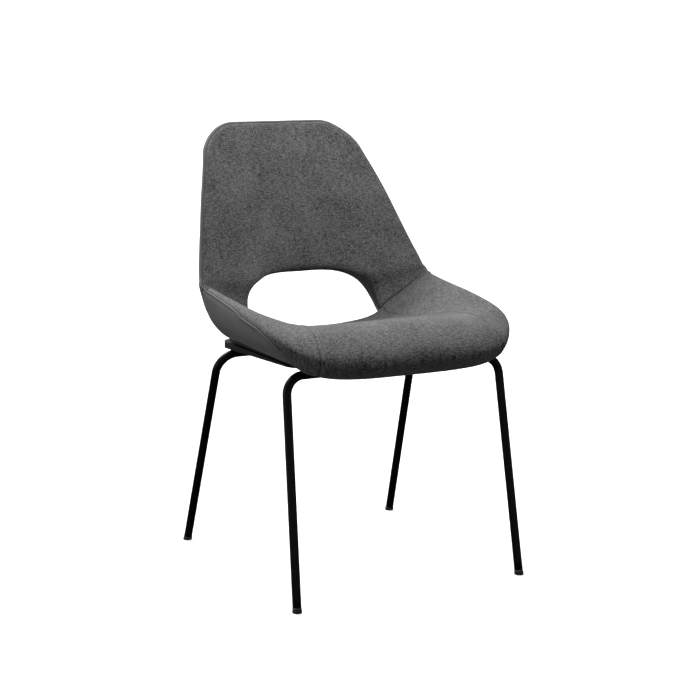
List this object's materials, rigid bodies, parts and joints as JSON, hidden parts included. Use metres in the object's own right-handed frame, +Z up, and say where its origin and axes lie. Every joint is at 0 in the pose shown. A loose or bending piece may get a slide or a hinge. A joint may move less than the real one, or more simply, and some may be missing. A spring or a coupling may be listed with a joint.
{
  "type": "upholstered dining chair",
  "caption": "Padded bucket-shell dining chair with raised side wings, an opening at the foot of the back and bent steel tube hoops as legs.",
  "frame": {"origin": "on the floor, under the middle of the chair's width and depth", "axes": "-Y is the way the sitter faces, +Y points to the back, +X is to the right for someone who stands in front and looks at the chair, +Z is up"},
  "size_m": [0.4994, 0.6058, 0.8196],
  "materials": {
    "woven_fabric": "coarse heathered weave, charcoal grey, matt",
    "side_fabric": "smoother, finer weave, warm mid grey, matt",
    "lining": "thin black non-woven lining",
    "foam": "cut polyurethane foam, hidden under the covers",
    "core_plywood": "moulded plywood, hidden",
    "pan_plastic": "moulded plastic, fine texture",
    "black_steel": "satin black powder coat",
    "glide_plastic": "hard plastic, slightly worn sole",
    "zinc_steel": "bright zinc plate"
  },
  "bodies": {
    "root": {"shell_core": "core_plywood", "seat_foam": "foam", "wing_foam_left": "foam", "wing_foam_right": "foam", "back_foam": "foam", "back_foam_rear": "foam", "front_roll_foam": "foam", "side_foam_left": "foam", "side_foam_right": "foam", "underside_wadding": "foam", "seat_cover": "woven_fabric", "wing_cover_left": "woven_fabric", "wing_cover_right": "woven_fabric", "back_cover_front": "woven_fabric", "back_cover_rear": "side_fabric", "side_cover_left": "side_fabric", "side_cover_right": "side_fabric", "underside_cover": "lining", "piping_left": "side_fabric", "piping_right": "side_fabric", "base_pan": "pan_plastic", "rail_left": "black_steel", "rail_right": "black_steel", "front_hoop": "black_steel", "rear_hoop": "black_steel", "glide_front_left": "glide_plastic", "glide_front_right": "glide_plastic", "glide_rear_left": "glide_plastic", "glide_rear_right": "glide_plastic", "mount_bolts": "zinc_steel", "mount_washers": "zinc_steel", "tee_nuts": "zinc_steel"}
  },
  "joints": []
}
